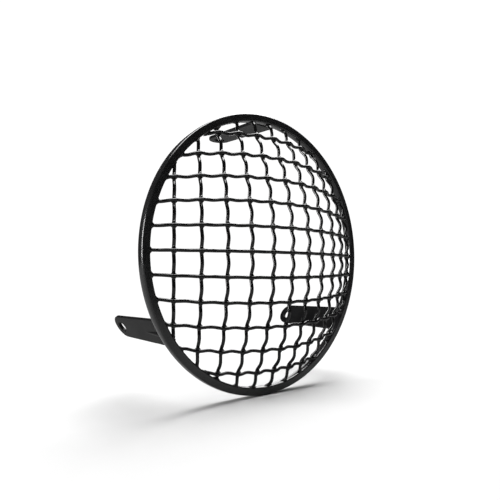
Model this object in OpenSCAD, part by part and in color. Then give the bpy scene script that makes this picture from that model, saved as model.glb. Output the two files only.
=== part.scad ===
// Motorcycle headlight guard: a bar ring, a domed grille of crimped wires and three mounting tabs.
// The origin is the centre of the ring's back face. -Y is the front, +Y the back, +Z is up.

/* [Ring] */
// Outer diameter of the ring
ring_od = 190; // [150:1:230]
// Width of the ring's bar, measured towards the centre
bar_w = 5.7; // [4.5:0.1:9]
// Thickness of the ring's bar, from front to back
bar_t = 6.1; // [4.5:0.1:10]
// Rounding of the bar's long edges
bar_edge_r = 1; // [0.4:0.1:2]

/* [Wire grille] */
// Diameter of the grille wires
wire_d = 2; // [1.2:0.1:2.6]
// Distance along the dome from the last upright wire on the right to the ring
side_clear = 7.7; // [4:0.1:14]
// Distance along the dome from the last level wire to the ring
top_clear = 12.3; // [4:0.1:16]
// Shift of the middle upright wire from the ring's centre
grille_shift = 3.1; // [-4:0.1:4]
// Height of the crimp waves, peak to peak
crimp_h = 2; // [0:0.1:3]
// Radius of the dome that the wires lie on
dome_r = 181; // [150:1:400]
// Distance from the ring's front face back to the wires' landing line
landing_depth = 2.2; // [1.8:0.1:3.2]
// Gap left between two wires where they cross
cross_gap = 0.04; // [0.02:0.01:0.1]
// Gap left between a wire's end and the ring
end_gap = 0.05; // [0.02:0.01:0.2]

/* [Mounting tabs] */
// Thickness of the tab plate
tab_t = 2.2; // [1:0.1:3.6]
// Distance from the ring's bore out to the inner face of the tab plate
tab_setback = 0.3; // [0:0.1:0.8]
// Width of a tab where it leaves the ring
tab_root_w = 18.8; // [16.5:0.1:30]
// Radius of a tab's round tip
tab_tip_r = 8.2; // [5:0.1:8.2]
// Distance from the ring's back face to the bolt hole
tab_reach = 51.4; // [25:0.1:90]
// Diameter of the bolt hole
hole_d = 7.2; // [4:0.1:8.5]
// Angle of the upper tab, anticlockwise from +X
top_tab_angle = 88.4; // [80:0.1:100]
// Angle of each lower tab away from straight down
low_tab_angle = 57.7; // [40:0.1:80]

/* [Welds] */
// Leg of the weld bead along the foot of each tab, on its outer side
bead_leg = 1.2; // [0.6:0.1:1.8]

/* [Hidden] */
ring_r = ring_od / 2;
bore_r = ring_r - bar_w;
tab_mid_r = bore_r + tab_setback + tab_t / 2;
front_y = -bar_t;
wire_r = wire_d / 2;
wall_r = bore_r - end_gap;
// Depth of the dome below its rim, and the height of its crown in front of the back face.
dome_rise = dome_r - sqrt(dome_r * dome_r - bore_r * bore_r);
crown_y = front_y + landing_depth - dome_rise;
// Arc length of the dome from its crown to the ring's wall, which both sets of wires share out.
dome_reach = asin(wall_r / dome_r) * PI / 180 * dome_r;
wires_each_way = 5;
pitch_across = (dome_reach - grille_shift - side_clear) / wires_each_way;
pitch_up = (dome_reach - top_clear) / wires_each_way;
// Sides of a wire's tube, rings per crimp wave, and rings that run on past the ring's wall.
wire_sides = 6;
wire_steps = 4;
steps_past_wall = 1;
// Height of the round body that cuts the wires off at the ring's wall.
trim_h = 4 * dome_rise;
ring_facets = 180;
// Clearance between a tab's foot and the ring's back face.
seam = 0.02;
// How far a cutting body passes the faces that it cuts.
cut_past = 1;
// Length at each side of a tab's foot that its weld bead leaves bare.
bead_short = 2;

$fn = 96;

// Position on the dome at two arc lengths from its crown: a sideways to the right, b upwards.
// The wires keep their spacing along the dome, so the squares draw together towards the rim.
function on_dome(a, b) = let (
    turn_a = a / dome_r * 180 / PI,
    turn_b = b / dome_r * 180 / PI,
    x = dome_r * sin(turn_a) * cos(turn_b),
    z = dome_r * sin(turn_b) * cos(turn_a)
) [x, crown_y + dome_r - sqrt(dome_r * dome_r - x * x - z * z), z];

// Outward normal of the dome at a point on it.
function dome_normal(p) = let (n = p - [0, crown_y + dome_r, 0]) n / norm(n);

// Arc length at which a wire that runs at arc distance a from the crown meets the ring's wall.
function wire_reach(a) = let (
    s = sin(a / dome_r * 180 / PI),
    t = (wall_r * wall_r / (dome_r * dome_r) - s * s) / (1 - 2 * s * s)
) t <= 0 ? 0 : asin(sqrt(t)) * PI / 180 * dome_r;

// A point of a wire's centre line. Every crossing puts the level wire outside and the upright
// wire inside, and between the crossings each wave swings back the other way.
function wire_point(upright, a, b) = let (
    p = upright ? on_dome(a, b) : on_dome(b, a),
    phase = upright ? b / pitch_up : (b - grille_shift) / pitch_across,
    at_cross = (wire_d + cross_gap) / 2,
    lift = at_cross - crimp_h / 2 * (1 - cos(phase * 360))
) p + dome_normal(p) * (upright ? -lift : lift);

// Arc lengths of the rings along a wire: the crossings and even steps between them, to just
// past the wall.
function wire_stations(pitch, start, reach) = let (
    step = pitch / wire_steps,
    first = floor((-reach - start) / step) - steps_past_wall,
    last = ceil((reach - start) / step) + steps_past_wall
) [for (k = [first : last]) start + k * step];

// A round wire swept along its crimped centre line and cut off at the ring's wall.
module wire(upright, a) {
    reach = wire_reach(a);
    pitch = upright ? pitch_up : pitch_across;
    start = upright ? 0 : grille_shift;
    if (reach > pitch / 2) intersection() {
        wire_sweep([for (b = wire_stations(pitch, start, reach)) wire_point(upright, a, b)]);
        rotate([90, 0, 0]) cylinder(r = wall_r, h = trim_h, center = true, $fn = ring_facets);
    }
}

// A tube with flat ends along a path on the dome.
module wire_sweep(path) {
    n = len(path);
    tangents = [for (k = [0 : n - 1])
        let (d = path[min(k + 1, n - 1)] - path[max(k - 1, 0)]) d / norm(d)];
    points = [for (k = [0 : n - 1]) let (
        side = cross(tangents[k], dome_normal(path[k])),
        right = side / norm(side),
        out = cross(right, tangents[k])
    ) for (m = [0 : wire_sides - 1]) let (w = m * 360 / wire_sides)
        path[k] + wire_r * (cos(w) * out + sin(w) * right)];
    walls = [for (k = [0 : n - 2]) for (m = [0 : wire_sides - 1]) let (
        p = k * wire_sides + m,
        q = k * wire_sides + (m + 1) % wire_sides
    ) each [[p, q, q + wire_sides], [p, q + wire_sides, p + wire_sides]]];
    start_cap = [for (m = [wire_sides - 1 : -1 : 0]) m];
    end_cap = [for (m = [0 : wire_sides - 1]) (n - 1) * wire_sides + m];
    polyhedron(points, concat(walls, [start_cap, end_cap]), convexity = 8);
}

module upright_wire(i) {
    color([0.09, 0.09, 0.09]) wire(true, i * pitch_across + grille_shift);
}

module level_wire(j) {
    color([0.12, 0.12, 0.12]) wire(false, j * pitch_up);
}

// The bar's section, a rectangle with rounded corners, with its outer side on x = ring_r.
module bar_section() {
    translate([bore_r + bar_edge_r, bar_edge_r])
        square([bar_w - 2 * bar_edge_r, bar_t - 2 * bar_edge_r]);
    translate([bore_r + bar_edge_r, 0])
        square([bar_w - 2 * bar_edge_r, bar_t]);
    translate([bore_r, bar_edge_r])
        square([bar_w, bar_t - 2 * bar_edge_r]);
    for (x = [bore_r + bar_edge_r, ring_r - bar_edge_r], y = [bar_edge_r, bar_t - bar_edge_r])
        translate([x, y]) circle(r = bar_edge_r);
}

module rim_ring() {
    color([0.16, 0.16, 0.16])
        rotate([90, 0, 0]) rotate_extrude($fn = ring_facets) bar_section();
}

// Outline of a tab with the ring's back face on y = 0: a tapered strip that runs into a round tip.
module tab_outline() {
    half = tab_root_w / 2;
    slope = atan((half - tab_tip_r) / tab_reach);
    touch = [tab_tip_r * cos(slope), tab_reach + tab_tip_r * sin(slope)];
    polygon([[-half, 0], [half, 0], touch, [-touch.x, touch.y]]);
    translate([0, tab_reach]) circle(r = tab_tip_r);
}

// A tab stands on the ring's back face, with a weld bead along the outer side of its foot.
module tab(angle) {
    color([0.14, 0.14, 0.14]) rotate([0, -angle, 0])
        translate([tab_mid_r, seam, 0]) {
            rotate([0, -90, 0]) translate([0, 0, -tab_t / 2]) difference() {
                linear_extrude(tab_t) tab_outline();
                translate([0, tab_reach, -cut_past])
                    cylinder(d = hole_d, h = tab_t + 2 * cut_past);
            }
            translate([tab_t / 2, 0, 0]) tab_bead();
        }
}

// A straight fillet bead with a triangular section.
module tab_bead() {
    length = tab_root_w - 2 * bead_short;
    translate([0, 0, -length / 2]) linear_extrude(length)
        polygon([[0, 0], [bead_leg, 0], [0, bead_leg]]);
}

rim_ring();
tab(top_tab_angle);  // upper_tab
tab(270 - low_tab_angle);  // lower_left_tab
tab(270 + low_tab_angle);  // lower_right_tab
for (i = [-wires_each_way : wires_each_way])
    upright_wire(i);
for (j = [-wires_each_way : wires_each_way])
    level_wire(j);
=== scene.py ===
"""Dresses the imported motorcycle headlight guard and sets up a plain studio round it.

Lengths are metres. The origin is the centre of the ring's back face, -Y is the front, +Z is up.
"""

import logging
import math
from dataclasses import dataclass, field
from enum import Enum
from typing import Iterable, Union

import bpy
import numpy as np
from mathutils import Matrix

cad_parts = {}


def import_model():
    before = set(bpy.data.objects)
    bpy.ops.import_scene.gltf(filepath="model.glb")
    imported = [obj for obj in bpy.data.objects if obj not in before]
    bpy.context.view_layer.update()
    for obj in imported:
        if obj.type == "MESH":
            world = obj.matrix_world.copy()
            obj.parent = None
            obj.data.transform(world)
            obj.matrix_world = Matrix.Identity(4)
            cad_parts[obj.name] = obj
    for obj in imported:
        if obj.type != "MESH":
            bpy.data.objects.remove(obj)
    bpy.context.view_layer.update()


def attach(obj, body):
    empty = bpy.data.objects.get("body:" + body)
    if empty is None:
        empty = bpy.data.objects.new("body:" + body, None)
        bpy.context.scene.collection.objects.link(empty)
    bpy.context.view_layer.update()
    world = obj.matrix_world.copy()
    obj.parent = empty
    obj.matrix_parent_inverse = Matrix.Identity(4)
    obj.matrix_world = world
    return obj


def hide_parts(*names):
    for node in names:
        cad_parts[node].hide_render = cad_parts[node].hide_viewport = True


MM = 0.001
BODY = "root"
EDGE_ATTRIBUTE = "edge_band"
# Angles of the tabs in degrees: the upper one from +X, and the lower ones from straight down.
TOP_TAB_ANGLE = 88.4
LOW_TAB_ANGLE = 57.7
STRAIGHT_DOWN = 270.0

# What an input of a shader node can get: its own value, or another node's output.
Feed = Union[bpy.types.NodeSocket, float, tuple[float, ...]]

log = logging.getLogger("headlight_guard")


class WireRun(Enum):
    """Which way a wire of the grille runs."""

    UPRIGHT = "upright_wire"
    LEVEL = "level_wire"


class Facing(Enum):
    """The side of a tab's plate that a weld bead lies on."""

    INNER = -1.0
    OUTER = 1.0


def unit(vectors: np.ndarray) -> np.ndarray:
    """Vectors scaled to length 1, along the last axis."""
    return vectors / np.linalg.norm(vectors, axis=-1, keepdims=True)


def stand(
    name: str, data: bpy.types.ID, axes: tuple[np.ndarray, ...], place: tuple[float, ...]
) -> bpy.types.Object:
    """Stands a camera or a light in the scene.

    Args:
        name: Name of the object.
        data: The camera or the light.
        axes: Its right, up and back directions, as unit vectors.
        place: Its place.

    Returns:
        The object.
    """
    holder = bpy.data.objects.new(name, data)
    turned = Matrix(np.stack(axes, axis=1).tolist()).to_4x4()
    turned.translation = place
    holder.matrix_world = turned
    bpy.context.scene.collection.objects.link(holder)
    return holder


@dataclass
class Shell:
    """Corners and faces of one or more closed surfaces, kept as whole arrays."""

    corners: list[np.ndarray] = field(default_factory=list)
    quads: list[np.ndarray] = field(default_factory=list)
    triangles: list[np.ndarray] = field(default_factory=list)
    edge_bands: list[np.ndarray] = field(default_factory=list)
    count: int = 0

    def add(
        self,
        grid: np.ndarray,
        wrap_rows: bool = False,
        edge_band: np.ndarray | None = None,
    ) -> None:
        """Adds a grid whose columns close on themselves.

        A corner of the surface is joined to its neighbours in the next row and column. Rows that
        don't wrap are closed with a fan from the middle of the first and of the last row. The
        enclosed volume is the sum of the triple products of the triangles, and a negative one
        turns all faces round.

        Args:
            grid: Corner positions, as rows x columns x 3.
            wrap_rows: True if the last row joins the first.
            edge_band: Value from 0 to 1 for each corner, rows x columns, or None for 0.
        """
        rows, cols = grid.shape[:2]
        index = np.arange(rows * cols).reshape(rows, cols)
        below = np.roll(index, -1, axis=0) if wrap_rows else index[1:]
        above = index if wrap_rows else index[:-1]
        quads = np.stack(
            [above, below, np.roll(below, -1, axis=1), np.roll(above, -1, axis=1)], axis=-1
        ).reshape(-1, 4)
        corners = grid.reshape(-1, 3)
        triangles = np.zeros((0, 3), dtype=int)
        band = np.zeros(rows * cols) if edge_band is None else edge_band.reshape(-1)
        if not wrap_rows:
            first, last = rows * cols, rows * cols + 1
            corners = np.vstack([corners, grid[0].mean(axis=0), grid[-1].mean(axis=0)])
            band = np.append(band, [band[0], band[-1]])
            turn = np.roll(index, -1, axis=1)
            start = np.stack([index[0], turn[0], np.full(cols, first)], axis=-1)
            end = np.stack([turn[-1], index[-1], np.full(cols, last)], axis=-1)
            triangles = np.vstack([start, end])
        halves = np.vstack([quads[:, [0, 1, 2]], quads[:, [0, 2, 3]], triangles])
        a, b, c = (corners[halves[:, k]] for k in range(3))
        if np.einsum("ij,ij->i", a, np.cross(b, c)).sum() < 0:
            quads, triangles = quads[:, ::-1], triangles[:, ::-1]
        self.corners.append(corners)
        self.quads.append(quads + self.count)
        self.triangles.append(triangles + self.count)
        self.edge_bands.append(band)
        self.count += len(corners)

    def piece(self, name: str) -> bpy.types.Object:
        """Makes the object, smooth shaded, with its place in its mesh.

        Args:
            name: Name of the object and of its mesh.

        Returns:
            The new object, linked to the scene and riding on the guard's body.
        """
        mesh = bpy.data.meshes.new(name)
        faces = np.vstack(self.quads).tolist() + np.vstack(self.triangles).tolist()
        mesh.from_pydata(np.vstack(self.corners), [], faces)
        mesh.polygons.foreach_set("use_smooth", np.ones(len(mesh.polygons), dtype=bool))
        band = mesh.attributes.new(EDGE_ATTRIBUTE, "FLOAT", "POINT")
        band.data.foreach_set("value", np.concatenate(self.edge_bands).astype(np.float32))
        mesh.update()
        piece = bpy.data.objects.new(name, mesh)
        bpy.context.scene.collection.objects.link(piece)
        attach(piece, BODY)
        log.info("%s: %d corners, %d faces", name, len(mesh.vertices), len(mesh.polygons))
        return piece


class Graph:
    """A tree of shader nodes, whose usual nodes are added and linked in one call.

    A value given to a call is a plain value or another node's output socket.
    """

    def __init__(self, tree: bpy.types.NodeTree) -> None:
        """Keeps the tree.

        Args:
            tree: The tree that the nodes are added to.
        """
        self.tree = tree

    def feed(self, socket: bpy.types.NodeSocket, value: Feed) -> None:
        """Links an input to another node's output, or sets its own value.

        Args:
            socket: The input.
            value: What it gets.
        """
        if isinstance(value, bpy.types.NodeSocket):
            self.tree.links.new(value, socket)
        else:
            socket.default_value = value

    def noise(
        self, place: Feed, scale: Feed, detail: float, roughness: float = 0.5
    ) -> bpy.types.NodeSocket:
        """Adds a noise texture.

        Args:
            place: Position that the noise is read at.
            scale: Waves per metre.
            detail: Number of finer layers.
            roughness: Share that each finer layer has of the one before.

        Returns:
            The noise, about 0 to 1.
        """
        node = self.tree.nodes.new("ShaderNodeTexNoise")
        self.feed(node.inputs["Vector"], place)
        self.feed(node.inputs["Scale"], scale)
        node.inputs["Detail"].default_value = detail
        node.inputs["Roughness"].default_value = roughness
        return node.outputs["Fac"]

    def arithmetic(
        self, operation: str, *values: Feed, clamp: bool = False
    ) -> bpy.types.NodeSocket:
        """Adds a step of arithmetic.

        Args:
            operation: Name of the operation.
            values: The values that it works on, in order.
            clamp: True to keep the result from 0 to 1.

        Returns:
            The result.
        """
        node = self.tree.nodes.new("ShaderNodeMath")
        node.operation = operation
        node.use_clamp = clamp
        for socket, value in zip(node.inputs, values):
            self.feed(socket, value)
        return node.outputs["Value"]

    def span(
        self,
        value: Feed,
        made: tuple[float, float] = (0.0, 1.0),
        given: tuple[float, float] = (0.0, 1.0),
        smooth: bool = False,
    ) -> bpy.types.NodeSocket:
        """Carries a value from one range over to another, and stops at its ends.

        Args:
            value: The value.
            made: Ends of the range that it is carried to.
            given: Ends of the range that it comes from.
            smooth: True to ease in and out.

        Returns:
            The result.
        """
        node = self.tree.nodes.new("ShaderNodeMapRange")
        node.interpolation_type = "SMOOTHSTEP" if smooth else "LINEAR"
        self.feed(node.inputs["Value"], value)
        node.inputs["From Min"].default_value, node.inputs["From Max"].default_value = given
        node.inputs["To Min"].default_value, node.inputs["To Max"].default_value = made
        return node.outputs["Result"]

    def blend(self, share: Feed, first: Feed, second: Feed) -> bpy.types.NodeSocket:
        """Blends two colours.

        Args:
            share: Share of the second colour.
            first: The first colour.
            second: The second colour.

        Returns:
            The blended colour.
        """
        node = self.tree.nodes.new("ShaderNodeMix")
        node.data_type = "RGBA"
        self.feed(node.inputs["Factor"], share)
        self.feed(node.inputs["A"], first)
        self.feed(node.inputs["B"], second)
        return node.outputs["Result"]

    def group(self, tree: bpy.types.NodeTree, values: dict[str, Feed]) -> bpy.types.Node:
        """Places a node group.

        Args:
            tree: The group.
            values: What each of its inputs gets, by name.

        Returns:
            The node.
        """
        node = self.tree.nodes.new("ShaderNodeGroup")
        node.node_tree = tree
        for name, value in values.items():
            self.feed(node.inputs[name], value)
        return node


class CoatTextures:
    """Shader node groups that the powder coats share, each built once."""

    GRAIN_SCALE = 3200.0
    GRAIN_SHARE = 0.22
    SWELL_SCALE = 55.0
    SWELL_SPAN = (0.35, 0.68)
    PATCH_SCALE = 420.0
    UPWARD_SPAN = (0.2, 1.0)

    def __init__(self) -> None:
        """Builds the groups."""
        self.orange_peel = self._orange_peel()
        self.settled_dust = self._settled_dust()

    @staticmethod
    def _group(
        name: str, inputs: Iterable[tuple[str, str]], outputs: Iterable[str]
    ) -> tuple[Graph, bpy.types.Node, bpy.types.Node]:
        """Starts a node group.

        Args:
            name: Name of the group.
            inputs: Name and socket type of each input.
            outputs: Name of each output, all of them floats.

        Returns:
            The group's graph, its input node and its output node.
        """
        tree = bpy.data.node_groups.new(name, "ShaderNodeTree")
        for socket_name, kind in inputs:
            tree.interface.new_socket(socket_name, in_out="INPUT", socket_type=kind)
        for socket_name in outputs:
            tree.interface.new_socket(socket_name, in_out="OUTPUT", socket_type="NodeSocketFloat")
        return Graph(tree), tree.nodes.new("NodeGroupInput"), tree.nodes.new("NodeGroupOutput")

    def _orange_peel(self) -> bpy.types.NodeTree:
        """Height of a sprayed powder coat: round ripples, with a finer grain and slow swells.

        Returns:
            The group, with Height, Gloss and Tone outputs from 0 to 1.
        """
        graph, given, made = self._group(
            "coat_orange_peel",
            [("Vector", "NodeSocketVector"), ("Ripple", "NodeSocketFloat")],
            ["Height", "Gloss", "Tone"],
        )
        place = given.outputs["Vector"]
        ripple = graph.noise(place, given.outputs["Ripple"], detail=2.0, roughness=0.45)
        grain = graph.noise(place, self.GRAIN_SCALE, detail=1.0)
        swell = graph.noise(place, self.SWELL_SCALE, detail=3.0)
        gloss = graph.span(swell, given=self.SWELL_SPAN)
        height = graph.arithmetic("MULTIPLY_ADD", grain, self.GRAIN_SHARE, ripple)
        graph.feed(made.inputs["Height"], height)
        graph.feed(made.inputs["Gloss"], gloss)
        graph.feed(made.inputs["Tone"], graph.arithmetic("MULTIPLY", gloss, ripple))
        return graph.tree

    def _settled_dust(self) -> bpy.types.NodeTree:
        """Mask of thin dust: the upward part of the normal, broken up by a patchy noise.

        Returns:
            The group, with a Mask output from 0 to 1.
        """
        graph, given, made = self._group(
            "settled_dust",
            [
                ("Vector", "NodeSocketVector"),
                ("Normal", "NodeSocketVector"),
                ("Amount", "NodeSocketFloat"),
            ],
            ["Mask"],
        )
        split = graph.tree.nodes.new("ShaderNodeSeparateXYZ")
        graph.feed(split.inputs["Vector"], given.outputs["Normal"])
        upward = graph.span(split.outputs["Z"], given=self.UPWARD_SPAN)
        patches = graph.noise(given.outputs["Vector"], self.PATCH_SCALE, detail=4.0)
        broken = graph.arithmetic("MULTIPLY", upward, patches)
        mask = graph.arithmetic("MULTIPLY", broken, given.outputs["Amount"])
        graph.feed(made.inputs["Mask"], mask)
        return graph.tree


@dataclass(frozen=True)
class PowderCoat:
    """A black powder coat on steel."""

    slot: str
    deep_black: tuple[float, float, float]
    worn_black: tuple[float, float, float]
    roughness: float
    roughness_spread: float
    sheen_level: float
    clear_layer: float
    ripple: float
    ripple_depth: float
    dust: float
    edge_wear: float = 0.5
    clear_roughness: float = 0.12
    dust_colour: tuple[float, float, float] = (0.42, 0.41, 0.39)

    def material(self, textures: CoatTextures) -> bpy.types.Material:
        """Builds the coat: peel bump, uneven gloss, thinner coat on edges and a little dust.

        Args:
            textures: The shared node groups.

        Returns:
            The material.
        """
        material = bpy.data.materials.new(f"{self.slot}_black")
        material.use_nodes = True
        graph = Graph(material.node_tree)
        nodes = graph.tree.nodes
        shader = nodes["Principled BSDF"]
        place = nodes.new("ShaderNodeTexCoord").outputs["Object"]
        normal = nodes.new("ShaderNodeNewGeometry").outputs["Normal"]
        edge = nodes.new("ShaderNodeAttribute")
        edge.attribute_name = EDGE_ATTRIBUTE
        peel = graph.group(textures.orange_peel, {"Vector": place, "Ripple": self.ripple})
        dust = graph.group(
            textures.settled_dust, {"Vector": place, "Normal": normal, "Amount": self.dust}
        ).outputs["Mask"]

        thin = graph.arithmetic(
            "MULTIPLY_ADD", edge.outputs["Fac"], self.edge_wear, peel.outputs["Tone"], clamp=True
        )
        black = graph.blend(thin, (*self.deep_black, 1.0), (*self.worn_black, 1.0))
        dusted = graph.blend(dust, black, (*self.dust_colour, 1.0))
        graph.feed(shader.inputs["Base Color"], dusted)

        low, high = self.roughness - self.roughness_spread, self.roughness + self.roughness_spread
        rough = graph.span(peel.outputs["Gloss"], made=(low, high))
        graph.feed(shader.inputs["Roughness"], graph.arithmetic("ADD", rough, dust))

        bump = nodes.new("ShaderNodeBump")
        bump.inputs["Distance"].default_value = self.ripple_depth
        graph.feed(bump.inputs["Height"], peel.outputs["Height"])
        graph.feed(shader.inputs["Normal"], bump.outputs["Normal"])
        shader.inputs["Specular IOR Level"].default_value = self.sheen_level
        shader.inputs["Coat Weight"].default_value = self.clear_layer
        shader.inputs["Coat Roughness"].default_value = self.clear_roughness
        return material


RING_COAT = PowderCoat(
    slot="ring_coat", deep_black=(0.005, 0.005, 0.0055), worn_black=(0.016, 0.016, 0.0165),
    roughness=0.19, roughness_spread=0.03, sheen_level=0.5, clear_layer=0.7, ripple=620.0,
    ripple_depth=0.000008, dust=0.01,
)
WIRE_COAT = PowderCoat(
    slot="wire_coat", deep_black=(0.002, 0.002, 0.0022), worn_black=(0.006, 0.006, 0.0063),
    roughness=0.12, roughness_spread=0.02, sheen_level=0.5, clear_layer=0.3, ripple=900.0,
    ripple_depth=0.000003, dust=0.004,
)
TAB_COAT = PowderCoat(
    slot="tab_coat", deep_black=(0.002, 0.002, 0.0022), worn_black=(0.006, 0.006, 0.0063),
    roughness=0.34, roughness_spread=0.05, sheen_level=0.19, clear_layer=0.0, ripple=560.0,
    ripple_depth=0.00003, dust=0.006,
)


def dress(
    piece: bpy.types.Object, coat: PowderCoat, materials: dict[str, bpy.types.Material]
) -> None:
    """Gives a piece its coat: appends the material of the coat's slot to its mesh.

    Args:
        piece: The piece.
        coat: Its finish.
        materials: The materials, by slot name.
    """
    piece.data.materials.append(materials[coat.slot])


@dataclass
class BarRing:
    """The ring: a rolled bar with rounded edges and slightly crowned walls."""

    outer_r: float = 95.0 * MM
    bar_w: float = 5.7 * MM
    bar_t: float = 6.1 * MM
    edge_r: float = 1.0 * MM
    crown_r: float = 11.0 * MM
    # Points of the ring and of its section.
    around: int = 360
    corner_steps: int = 9
    flat_steps: int = 4

    @property
    def bore_r(self) -> float:
        """Radius of the ring's inner wall."""
        return self.outer_r - self.bar_w

    def section(self) -> tuple[np.ndarray, np.ndarray]:
        """Section of the bar: rounded corners, flat front and back, slightly crowned walls.

        Each crown is an arc of a large circle. The corners next to it start at the angle where
        the arc ends, so the two share a tangent.

        Returns:
            Radius and depth of each point, n x 2, and a value for each that is 1 on the roundings.
        """
        half, quarter = self.bar_t / 2, math.pi / 2
        lean = math.asin((half - self.edge_r) / (self.crown_r - self.edge_r))
        set_in = (self.crown_r - self.edge_r) * math.cos(lean)
        far_x = self.outer_r - self.crown_r + set_in
        near_x = self.bore_r + self.crown_r - set_in
        back_y, front_y = -self.edge_r, self.edge_r - self.bar_t

        def arc(x: float, y: float, radius: float, start: float, end: float) -> np.ndarray:
            """Points round a centre, as many as a corner has."""
            angle = np.linspace(start, end, self.corner_steps)
            return np.array([x, y]) + radius * np.stack([np.cos(angle), np.sin(angle)], -1)

        def straight(start: np.ndarray, end: np.ndarray) -> np.ndarray:
            """Points between two corners, drawn together towards both."""
            share = np.linspace(0, 1, self.flat_steps + 2)[1:-1, None]
            return start + (end - start) * share * share * (3 - 2 * share)

        outer_back = arc(far_x, back_y, self.edge_r, lean, quarter)
        inner_back = arc(near_x, back_y, self.edge_r, quarter, 2 * quarter - lean)
        inner_front = arc(near_x, front_y, self.edge_r, 2 * quarter + lean, 3 * quarter)
        outer_front = arc(far_x, front_y, self.edge_r, 3 * quarter, 4 * quarter - lean)
        bore_x, rim_x = self.bore_r + self.crown_r, self.outer_r - self.crown_r
        inner_wall = arc(bore_x, -half, self.crown_r, 2 * quarter - lean, 2 * quarter + lean)
        outer_wall = arc(rim_x, -half, self.crown_r, -lean, lean)
        rounded = np.sin(np.linspace(0, math.pi, self.corner_steps))
        parts = (
            (outer_back, rounded), (straight(outer_back[-1], inner_back[0]), None),
            (inner_back, rounded), (inner_wall[1:-1], None),
            (inner_front, rounded), (straight(inner_front[-1], outer_front[0]), None),
            (outer_front, rounded), (outer_wall[1:-1], None),
        )
        band = [np.zeros(len(points)) if value is None else value for points, value in parts]
        return np.vstack([points for points, _ in parts]), np.concatenate(band)

    def build(self, materials: dict[str, bpy.types.Material]) -> None:
        """Turns the section about the Y axis and puts it in the ring's place.

        Args:
            materials: The materials, by slot name.
        """
        points, band = self.section()
        radius, depth = points.T
        angle = np.linspace(0, 2 * math.pi, self.around, endpoint=False)[:, None]
        grid = np.stack(
            np.broadcast_arrays(radius * np.cos(angle), depth, radius * np.sin(angle)), axis=-1
        )
        shell = Shell()
        shell.add(grid, wrap_rows=True, edge_band=np.tile(band, (self.around, 1)))
        piece = shell.piece("coated_ring")
        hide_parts("rim_ring")
        dress(piece, RING_COAT, materials)


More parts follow.
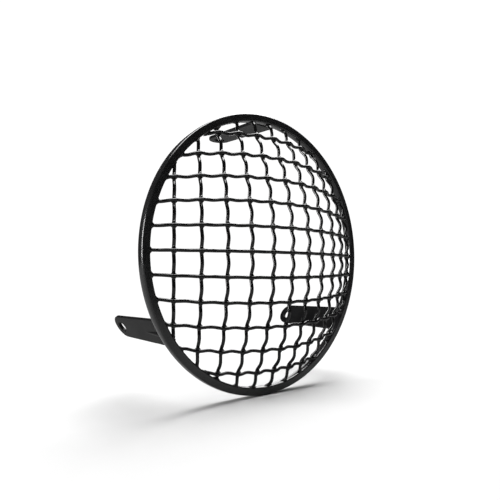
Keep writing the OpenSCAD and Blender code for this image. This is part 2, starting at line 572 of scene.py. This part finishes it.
@dataclass
class WireGrille:
    """The domed grille: crimped wires both ways, with coat in the corners of their crossings.

    Each wire's end has a weld collar at the ring, and coat in its corners too.
    """

    ring: BarRing
    wire_d: float = 2.0 * MM
    side_clear: float = 7.7 * MM
    top_clear: float = 12.3 * MM
    end_gap: float = 0.05 * MM
    shift: float = 3.1 * MM
    crimp_h: float = 2.0 * MM
    dome_r: float = 181.0 * MM
    landing_depth: float = 2.2 * MM
    cross_gap: float = 0.04 * MM
    each_way: int = 5
    # The coat on the wires, how far they reach into the ring, and the steps along and round them.
    coat_t: float = 0.1 * MM
    sunk: float = 0.5 * MM
    step: float = 0.8 * MM
    sides: int = 14
    # The lenses of coat at the crossings and at the wires' ends.
    web_arm: float = 3.8 * MM
    end_arm: float = 3.6 * MM
    web_half_t: float = 1.3 * MM
    web_power: float = 0.7
    web_first_turn: float = 0.12 * math.pi
    web_around: int = 16
    web_rows: int = 5
    # The weld collars. They start a little inside the coat, at this share of the wire's radius.
    collar_start: float = 0.98
    collar_length: float = 2.0 * MM
    collar_r: float = 1.6 * MM
    collar_sunk: float = 0.35 * MM
    collar_rows: int = 7
    # A short step along the dome, which gives its directions.
    probe: float = 0.01 * MM

    @property
    def dome_reach(self) -> float:
        """Arc length of the dome from its crown to the wires' ends."""
        return self.dome_r * math.asin((self.ring.bore_r - self.end_gap) / self.dome_r)

    @property
    def pitch_across(self) -> float:
        """Distance between upright wires, along the dome."""
        return (self.dome_reach - self.shift - self.side_clear) / self.each_way

    @property
    def pitch_up(self) -> float:
        """Distance between level wires, along the dome."""
        return (self.dome_reach - self.top_clear) / self.each_way

    @property
    def crown_y(self) -> float:
        """Depth of the dome's crown."""
        rise = self.dome_r - math.sqrt(self.dome_r**2 - self.ring.bore_r**2)
        return -self.ring.bar_t + self.landing_depth - rise

    def on_dome(self, across: np.ndarray, up: np.ndarray) -> np.ndarray:
        """Position on the dome at two arc lengths from its crown.

        The sideways place is the dome's radius times the sine of one turn and the cosine of the
        other, the height is the same with the turns swapped, and the depth follows the sphere.

        Args:
            across: Arc lengths to the right.
            up: Arc lengths upwards.

        Returns:
            The positions, with a last axis of 3.
        """
        turn_a, turn_b = np.broadcast_arrays(across / self.dome_r, up / self.dome_r)
        x = self.dome_r * np.sin(turn_a) * np.cos(turn_b)
        z = self.dome_r * np.sin(turn_b) * np.cos(turn_a)
        y = self.crown_y + self.dome_r - np.sqrt(self.dome_r**2 - x * x - z * z)
        return np.stack([x, y, z], axis=-1)

    def outward(self, points: np.ndarray) -> np.ndarray:
        """Unit normals of the dome, from its centre through the points."""
        return unit(points - np.array([0.0, self.crown_y + self.dome_r, 0.0]))

    def reach(self, distance: float, wall_r: float) -> float:
        """Arc length at which a wire meets a round wall.

        There the squares of the sideways place and of the height add up to the square of the
        wall's radius, and the squared sine of the turn along the wire follows from that.

        Args:
            distance: Arc distance of the wire from the crown.
            wall_r: Radius of the wall.

        Returns:
            The arc length from the wire's middle, or 0 if it doesn't come inside the wall.
        """
        across = math.sin(distance / self.dome_r) ** 2
        along = ((wall_r / self.dome_r) ** 2 - across) / (1 - 2 * across)
        return math.asin(math.sqrt(along)) * self.dome_r if along > 0 else 0.0

    def centre_line(self, run: WireRun, distance: float, along: np.ndarray) -> np.ndarray:
        """Centre line of a crimped wire: the dome plus a cosine wave along its normal.

        Where two wires cross, the level one is outside and the upright one is inside.

        Args:
            run: Which way the wire runs.
            distance: Its arc distance from the crown.
            along: Arc lengths along it.

        Returns:
            Points along the wire, n x 3.
        """
        upright = run is WireRun.UPRIGHT
        base = self.on_dome(distance, along) if upright else self.on_dome(along, distance)
        phase = along / self.pitch_up if upright else (along - self.shift) / self.pitch_across
        swing = self.crimp_h / 2 * (1 - np.cos(2 * math.pi * phase))
        lift = (self.wire_d + self.cross_gap) / 2 - swing
        side = -1.0 if upright else 1.0
        return base + self.outward(base) * (side * lift)[:, None]

    def tube(self, path: np.ndarray, radii: np.ndarray) -> np.ndarray:
        """Circles across a path, turned with its tangents and the dome's normals.

        Args:
            path: Points, n x 3.
            radii: Radius of the tube at each point.

        Returns:
            The grid, n x sides x 3.
        """
        tangent = unit(np.gradient(path, axis=0))
        side = unit(np.cross(tangent, self.outward(path)))
        out = np.cross(side, tangent)
        angle = np.linspace(0, 2 * math.pi, self.sides, endpoint=False)[None, :, None]
        circle = np.cos(angle) * out[:, None] + np.sin(angle) * side[:, None]
        return path[:, None] + radii[:, None, None] * circle

    def distances(self, run: WireRun) -> np.ndarray:
        """Arc distances from the crown of the wires that run one way.

        Args:
            run: Which way they run.

        Returns:
            The distances, in the order of the wires' nodes.
        """
        number = np.arange(-self.each_way, self.each_way + 1)
        if run is WireRun.UPRIGHT:
            return number * self.pitch_across + self.shift
        return number * self.pitch_up

    def build_wires(self, run: WireRun, materials: dict[str, bpy.types.Material]) -> None:
        """Sweeps all the wires that run one way, with their ends sunk into the ring's wall.

        Args:
            run: Which way they run.
            materials: The materials, by slot name.
        """
        shell = Shell()
        for distance in self.distances(run):
            reach = self.reach(distance, self.ring.bore_r + self.sunk)
            along = np.linspace(-reach, reach, int(2 * reach / self.step))
            path = self.centre_line(run, distance, along)
            shell.add(self.tube(path, np.full(len(path), self.wire_d / 2 + self.coat_t)))
        piece = shell.piece(f"{run.value}s")
        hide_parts(*(f"{run.value}_{k + 1}" for k in range(2 * self.each_way + 1)))
        dress(piece, WIRE_COAT, materials)

    def lens(self, arm: float) -> np.ndarray:
        """Grid of a four-armed lens of coat, to be laid along any three directions.

        Its outline is the curve where the sum of the two distances, each to a power below 1, is
        constant. From its middle plane to its flat tops the outline shrinks with that power of a
        sine, and the height grows with the cosine.

        Args:
            arm: Length of its arms.

        Returns:
            The grid, rows x columns x 3, with its thickness along the third axis.
        """
        angle = np.linspace(0, 2 * math.pi, self.web_around, endpoint=False)[None, :]
        arms = np.abs(np.cos(angle)) ** self.web_power + np.abs(np.sin(angle)) ** self.web_power
        radius = arm * arms ** (-1 / self.web_power)
        turns = (self.web_first_turn, math.pi - self.web_first_turn)
        fall = np.linspace(*turns, self.web_rows)[:, None]
        flat = np.sin(fall) ** self.web_power
        wide, tall = radius * np.cos(angle) * flat, radius * np.sin(angle) * flat
        height = self.web_half_t * np.cos(fall)
        return np.stack(np.broadcast_arrays(wide, tall, height), axis=-1)

    def build_webs(self, materials: dict[str, bpy.types.Material]) -> None:
        """Fills the corners of every crossing inside the ring with a small lens of coat.

        Args:
            materials: The materials, by slot name.
        """
        across, up = np.meshgrid(self.distances(WireRun.UPRIGHT), self.distances(WireRun.LEVEL))
        centre = self.on_dome(across, up)
        inside = np.hypot(centre[..., 0], centre[..., 2]) < self.ring.bore_r - self.wire_d
        across, up, here = across[inside], up[inside], centre[inside]
        right = unit(self.on_dome(across + self.probe, up) - here)
        upward = unit(self.on_dome(across, up + self.probe) - here)
        axes = np.stack([right, upward, self.outward(here)], axis=1)
        grids = here[:, None, None] + np.einsum("rck,pkx->prcx", self.lens(self.web_arm), axes)
        shell = Shell()
        for grid in grids:
            shell.add(grid)
        piece = shell.piece("crossing_webs")
        dress(piece, WIRE_COAT, materials)

    def end_fillet(self, run: WireRun, distance: float, end: float) -> np.ndarray:
        """Grid of the lens of coat in the corners between a wire's end and the ring.

        Args:
            run: Which way the wire runs.
            distance: Its arc distance from the crown.
            end: 1 for the end that the wire runs to, -1 for the other.

        Returns:
            The grid, rows x columns x 3.
        """
        reach = self.reach(distance, self.ring.bore_r)
        along = end * np.array([reach, reach - self.probe])
        tip, inner = self.centre_line(run, distance, along)
        around = np.array([-tip[2], 0.0, tip[0]])
        axes = np.stack([unit(inner - tip), unit(around), self.outward(tip)])
        return tip + self.lens(self.end_arm) @ axes

    def build_end_welds(self, materials: dict[str, bpy.types.Material]) -> None:
        """Puts a weld collar and a lens of coat at each wire's end on the ring's wall.

        The collar's radius grows from the wire's with the square of the way to the wall. The
        lens lies along the wire and along the ring, so it fills the corners between them.

        Args:
            materials: The materials, by slot name.
        """
        shell = Shell()
        wire_r = self.wire_d / 2
        share = np.linspace(0, 1, self.collar_rows)
        radii = wire_r * self.collar_start + (self.collar_r - wire_r) * share**2
        for run in WireRun:
            for distance in self.distances(run):
                reach = self.reach(distance, self.ring.bore_r + self.collar_sunk)
                for end in (-1.0, 1.0):
                    along = end * (reach - self.collar_length * (1 - share))
                    shell.add(self.tube(self.centre_line(run, distance, along), radii))
                    shell.add(self.end_fillet(run, distance, end))
        piece = shell.piece("wire_end_welds")
        dress(piece, WIRE_COAT, materials)

    def build(self, materials: dict[str, bpy.types.Material]) -> None:
        """Builds the wires, the webs at their crossings and the welds at their ends.

        Args:
            materials: The materials, by slot name.
        """
        for run in WireRun:
            self.build_wires(run, materials)
        self.build_webs(materials)
        self.build_end_welds(materials)


@dataclass
class MountingTab:
    """A flat plate with a round tip and a bolt hole, welded to the ring's back face.

    Its angle is measured anticlockwise from +X.
    """

    ring: BarRing
    node: str
    angle_deg: float
    plate_t: float = 2.2 * MM
    setback: float = 0.3 * MM
    root_w: float = 18.8 * MM
    tip_r: float = 8.2 * MM
    reach: float = 51.4 * MM
    hole_r: float = 3.6 * MM
    edge_r: float = 0.45 * MM
    hole_edge_r: float = 0.6 * MM
    sunk: float = 0.3 * MM
    # Where the plate's flat faces start, in radii of the edge beside them.
    rim_margin: float = 1.5
    hole_margin: float = 1.6
    # Points of the plate's section and of its outline.
    edge_steps: int = 5
    face_steps: int = 5
    tip_steps: int = 49
    side_steps: int = 24
    foot_steps: int = 12
    # The weld beads. Their hollow, back and ends are shares of their legs.
    outer_leg: float = 1.2 * MM
    inner_leg: float = 0.5 * MM
    bead_short: float = 2.0 * MM
    bead_hollow: float = 0.82
    bead_sunk: float = 0.25
    bead_end: float = 0.03
    bead_power: int = 6
    bead_rows: int = 121
    bead_steps: int = 9
    ripple_pitch: float = 1.3 * MM
    ripple_h: float = 0.03 * MM
    # The rib. Its foot is a share of its width, and its end a share of its length and height.
    rib_length: float = 21.0 * MM
    rib_half_w: float = 1.6 * MM
    rib_h: float = 1.5 * MM
    rib_offset: float = 0.9 * MM
    rib_sunk: float = 0.44 * MM
    rib_foot: float = 0.9
    rib_end: float = 0.001
    rib_rows: int = 40
    rib_steps: int = 13

    def placed(self, points: np.ndarray) -> np.ndarray:
        """Turns points of the tab's own axes into the ring's.

        The tab's axes are: sideways along the ring, back from the ring's back face, and outwards
        from the ring's centre, where the plate's middle plane is 0.

        Args:
            points: Positions with a last axis of 3, in the tab's axes.

        Returns:
            The positions in the shared frame.
        """
        turn = math.radians(self.angle_deg)
        radial = np.array([math.cos(turn), 0.0, math.sin(turn)])
        sideways = np.array([-math.sin(turn), 0.0, math.cos(turn)])
        back = np.array([0.0, 1.0, 0.0])
        radius = points[..., 2] + self.ring.bore_r + self.setback + self.plate_t / 2
        return points[..., :1] * sideways + points[..., 1:2] * back + radius[..., None] * radial

    def outline(self, inset: float) -> np.ndarray:
        """Outline of the plate, moved inwards: tapered sides tangent to the tip's circle.

        Args:
            inset: Distance that the outline is moved inwards. The foot is sunk into the ring.

        Returns:
            Points, n x 2: the foot, one side, the tip's arc and the other side.
        """
        half = self.root_w / 2 - inset
        slope = math.atan((self.root_w / 2 - self.tip_r) / self.reach)
        tip = self.tip_r - inset
        arc = np.linspace(slope, math.pi - slope, self.tip_steps)[:, None]
        tip_arc = np.array([0.0, self.reach]) + tip * np.hstack([np.cos(arc), np.sin(arc)])
        foot_right = np.array([half, inset - self.edge_r - self.sunk])
        foot_left = foot_right * [-1.0, 1.0]
        side = np.linspace(0, 1, self.side_steps, endpoint=False)[:, None]
        foot = np.linspace(0, 1, self.foot_steps, endpoint=False)[:, None]
        return np.vstack(
            [
                foot_left * (1 - foot) + foot_right * foot,
                foot_right * (1 - side) + tip_arc[0] * side,
                tip_arc,
                (tip_arc[-1] * (1 - side) + foot_left * side)[1:],
            ]
        )

    def plate(self) -> tuple[np.ndarray, np.ndarray]:
        """Grid of the plate: its section runs out over one face, round the edge and back.

        Each column belongs to a point of the outline and to the point of the hole in the same
        direction. The edges at both are quarter circles, and the flat face between them keeps a
        margin, in radii of each edge. The second half of the rows is the first one in reverse
        order, with its heights negated.

        Returns:
            The grid in the tab's axes, section x outline x 3, and a value that is 1 on the edges.
        """
        hole = np.array([0.0, self.reach])
        direction = unit(self.outline(0.0) - hole)
        quarter = np.linspace(0, math.pi / 2, self.edge_steps)
        back, drop, worn = 1 - np.cos(quarter), 1 - np.sin(quarter), np.sin(2 * quarter)
        bore = [hole + direction * (self.hole_r + self.hole_edge_r * share) for share in back]
        near = hole + direction * (self.hole_r + self.hole_edge_r * self.hole_margin)
        far = self.outline(self.edge_r * self.rim_margin)
        shares = np.linspace(0, 1, self.face_steps)
        face = [near * (1 - share) + far * share for share in shares]
        rim = [self.outline(self.edge_r * share) for share in back[::-1]]
        points = np.stack(bore + face + rim)
        level = np.zeros(self.face_steps)
        fall = np.concatenate([self.hole_edge_r * drop, level, self.edge_r * drop[::-1]])
        height = np.repeat(self.plate_t / 2 - fall[:, None], points.shape[1], axis=1)
        half = np.dstack([points, height])
        grid = np.vstack([half, half[::-1] * [1.0, 1.0, -1.0]])
        band = np.concatenate([worn, level, worn[::-1]])
        return grid, np.repeat(np.append(band, band[::-1])[:, None], grid.shape[1], axis=1)

    def bead(self, facing: Facing) -> np.ndarray:
        """Grid of a weld bead: a hollow fillet carried along the foot, with ripples.

        The fillet is a quarter circle between the plate and the ring, and its back is sunk into
        both. Its legs swell with the size of a sine wave, which makes the ripples, and shrink to
        almost nothing at both ends, with the root of 1 minus a high power of the way from the
        middle.

        Args:
            facing: The side of the plate that it lies on.

        Returns:
            The grid in the tab's axes, length x section x 3.
        """
        half = self.root_w / 2 - self.bead_short
        along = np.linspace(-half, half, self.bead_rows)
        share = np.abs(along) / half
        taper = self.bead_end + (1 - self.bead_end) * np.sqrt(1 - share**self.bead_power)
        ripple = np.abs(np.sin(math.pi * along / self.ripple_pitch)) * self.ripple_h
        full_leg = self.outer_leg if facing is Facing.OUTER else self.inner_leg
        leg = (full_leg + ripple) * taper
        turn = np.linspace(math.pi / 2, 0, self.bead_steps)
        hollow = 1 - self.bead_hollow * np.stack([np.sin(turn), np.cos(turn)], axis=-1)
        low = -self.bead_sunk
        loop = np.vstack([hollow, [[1.0, low], [low, low], [low, 1.0]]])
        section = leg[:, None, None] * loop[None]
        height = facing.value * (self.plate_t / 2 + section[..., 0])
        return np.stack(np.broadcast_arrays(along[:, None], section[..., 1], height), axis=-1)

    def rib(self) -> np.ndarray:
        """Grid of the pressed rib on the plate's outer face, which dies out away from the ring.

        Its section is half an ellipse on a foot that is sunk into the plate. The width shrinks
        with the square root of the way left to the rib's end, the height in proportion to it.

        Returns:
            The grid in the tab's axes, length x section x 3.
        """
        along = np.linspace(-self.sunk, self.rib_length, self.rib_rows)
        left = np.clip(1 - along / self.rib_length, self.rib_end, 1.0)[:, None]
        turn = np.linspace(0, math.pi, self.rib_steps)
        across = np.append(np.cos(turn), [-self.rib_foot, self.rib_foot])
        side = np.sqrt(left) * across * self.rib_half_w
        foot = np.full((len(along), 2), -self.rib_sunk)
        height = np.hstack([left * np.sin(turn) * self.rib_h, foot]) + self.plate_t / 2
        side += self.rib_offset
        return np.stack(np.broadcast_arrays(side, along[:, None], height), axis=-1)

    def build(self, materials: dict[str, bpy.types.Material]) -> None:
        """Builds the plate with its rib, and its two weld beads.

        Args:
            materials: The materials, by slot name.
        """
        plate = Shell()
        grid, band = self.plate()
        plate.add(self.placed(grid), wrap_rows=True, edge_band=band)
        plate.add(self.placed(self.rib()))
        piece = plate.piece(f"{self.node}_plate")
        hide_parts(self.node)
        dress(piece, TAB_COAT, materials)
        beads = Shell()
        for facing in Facing:
            beads.add(self.placed(self.bead(facing)))
        dress(beads.piece(f"{self.node}_weld_beads"), TAB_COAT, materials)


@dataclass(frozen=True)
class PhotoCamera:
    """The camera as fitted to the photograph, turned right from +Y and tilted up, with no roll."""

    place: tuple[float, float, float] = (-0.2355, -0.26359, -0.01305)
    turn_deg: float = 40.5345
    tilt_deg: float = 2.5207
    sensor_mm: float = 36.0
    lens_mm: float = 36.94
    shift_x: float = -0.0007
    shift_y: float = 0.0003
    nearest: float = 0.01
    farthest: float = 30.0

    def build(self) -> None:
        """Adds the camera and makes it the scene's."""
        camera = bpy.data.cameras.new("photo_camera")
        camera.sensor_fit = "HORIZONTAL"
        camera.sensor_width = self.sensor_mm
        camera.lens = self.lens_mm
        camera.shift_x = self.shift_x
        camera.shift_y = self.shift_y
        camera.clip_start = self.nearest
        camera.clip_end = self.farthest
        camera.dof.use_dof = False
        turn, tilt = math.radians(self.turn_deg), math.radians(self.tilt_deg)
        right = np.array([math.cos(turn), -math.sin(turn), 0.0])
        level = np.array([math.sin(turn), math.cos(turn), 0.0])
        upright = np.array([0.0, 0.0, 1.0])
        up = upright * math.cos(tilt) - level * math.sin(tilt)
        back = -level * math.cos(tilt) - upright * math.sin(tilt)
        bpy.context.scene.camera = stand("photo_camera", camera, (right, up, back), self.place)


@dataclass(frozen=True)
class SoftBox:
    """A rectangular soft light that faces the origin."""

    name: str
    place: tuple[float, float, float]
    size: tuple[float, float]
    radiance: float

    def build(self) -> None:
        """Adds the light. Its power is its radiance times its area and pi."""
        light = bpy.data.lights.new(self.name, "AREA")
        light.shape = "RECTANGLE"
        light.size, light.size_y = self.size
        light.energy = self.radiance * self.size[0] * self.size[1] * math.pi
        away = unit(np.array(self.place))
        side = unit(np.cross([0.0, 0.0, 1.0], away))
        holder = stand(self.name, light, (side, np.cross(away, side), away), self.place)
        holder.visible_camera = False


SOFT_BOXES = (
    SoftBox("over_softbox", place=(0.20, 0.08, 1.25), size=(0.75, 1.8), radiance=9.5),
    SoftBox("right_wall", place=(0.82, 1.16, 0.56), size=(0.8, 0.9), radiance=2.3),
    SoftBox("left_strip", place=(-1.25, 0.60, 0.20), size=(0.28, 0.6), radiance=27.0),
)


@dataclass
class Studio:
    """Plain pale floor that the ring stands on, even room light and soft lights."""

    ring: BarRing
    floor_half: float = 6.0
    floor_steps: int = 25
    paper_white: float = 0.58
    mottle: float = 0.01
    mottle_scale: float = 35.0
    glare_kept: float = 0.35
    fade_start: float = 0.30
    fade_end: float = 0.60
    room: float = 0.05
    seen_white: float = 1.06

    def add_floor(self) -> None:
        """Lays a large flat sheet of paper under the ring, as a grid of positions x and y."""
        spread = np.linspace(-self.floor_half, self.floor_half, self.floor_steps)
        x, y = np.meshgrid(spread, spread, indexing="ij")
        corners = np.stack([x, y, np.full_like(x, -self.ring.outer_r)], axis=-1)
        index = np.arange(x.size).reshape(x.shape)
        quads = np.stack([index[:-1, :-1], index[1:, :-1], index[1:, 1:], index[:-1, 1:]], -1)
        mesh = bpy.data.meshes.new("studio_floor")
        mesh.from_pydata(corners.reshape(-1, 3), [], quads.reshape(-1, 4).tolist())
        floor = bpy.data.objects.new("studio_floor", mesh)
        bpy.context.scene.collection.objects.link(floor)
        mesh.materials.append(self.paper())

    def paper(self) -> bpy.types.Material:
        """White studio paper with a faint mottle.

        Further out it fades smoothly to plain white for the camera. Its glare in the coats is
        kept low, as black flags would do.

        Returns:
            The material.
        """
        material = bpy.data.materials.new("studio_paper")
        material.use_nodes = True
        graph = Graph(material.node_tree)
        nodes = graph.tree.nodes
        nodes.remove(nodes["Principled BSDF"])
        place = nodes.new("ShaderNodeTexCoord").outputs["Object"]
        path = nodes.new("ShaderNodeLightPath").outputs
        spots = graph.noise(place, self.mottle_scale, detail=4.0)
        low, high = self.paper_white - self.mottle, self.paper_white + self.mottle
        white = graph.span(spots, made=(low, high))
        kept = graph.span(path["Is Glossy Ray"], made=(1.0, self.glare_kept))
        diffuse = nodes.new("ShaderNodeBsdfDiffuse")
        graph.feed(diffuse.inputs["Color"], graph.arithmetic("MULTIPLY", white, kept))

        away = nodes.new("ShaderNodeVectorMath")
        away.operation = "LENGTH"
        graph.feed(away.inputs[0], place)
        faded = (self.fade_start, self.fade_end)
        fade = graph.span(away.outputs["Value"], given=faded, smooth=True)
        glow = nodes.new("ShaderNodeEmission")
        glow.inputs["Strength"].default_value = self.seen_white
        blend = nodes.new("ShaderNodeMixShader")
        graph.feed(blend.inputs["Fac"], graph.arithmetic("MULTIPLY", fade, path["Is Camera Ray"]))
        graph.feed(blend.inputs[1], diffuse.outputs["BSDF"])
        graph.feed(blend.inputs[2], glow.outputs["Emission"])
        graph.feed(nodes["Material Output"].inputs["Surface"], blend.outputs["Shader"])
        return material

    def add_room(self) -> None:
        """Lights the room dimly, and shows it as plain white where the camera sees it."""
        world = bpy.data.worlds.new("studio_room")
        world.use_nodes = True
        graph = Graph(world.node_tree)
        nodes = graph.tree.nodes
        seen = nodes.new("ShaderNodeLightPath").outputs["Is Camera Ray"]
        strength = graph.span(seen, made=(self.room, self.seen_white))
        graph.feed(nodes["Background"].inputs["Strength"], strength)
        nodes["Background"].inputs["Color"].default_value = (1.0, 1.0, 1.0, 1.0)
        bpy.context.scene.world = world

    def build(self) -> None:
        """Builds the floor, the room and the lights.

        The Standard view transform shows plain white as white, as it is in the photograph.
        """
        self.add_floor()
        self.add_room()
        for box in SOFT_BOXES:
            box.build()
        bpy.context.scene.view_settings.view_transform = "Standard"


def main() -> None:
    """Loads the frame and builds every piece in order."""
    logging.basicConfig(level=logging.INFO, format="%(name)s: %(message)s")
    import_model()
    PhotoCamera().build()
    textures = CoatTextures()
    coats = (RING_COAT, WIRE_COAT, TAB_COAT)
    materials = {coat.slot: coat.material(textures) for coat in coats}
    ring = BarRing()
    ring.build(materials)
    WireGrille(ring=ring).build(materials)
    tab_angles = {
        "upper_tab": TOP_TAB_ANGLE,
        "lower_left_tab": STRAIGHT_DOWN - LOW_TAB_ANGLE,
        "lower_right_tab": STRAIGHT_DOWN + LOW_TAB_ANGLE,
    }
    for node, angle in tab_angles.items():
        MountingTab(ring=ring, node=node, angle_deg=angle).build(materials)
    Studio(ring=ring).build()


if __name__ == "__main__":
    main()
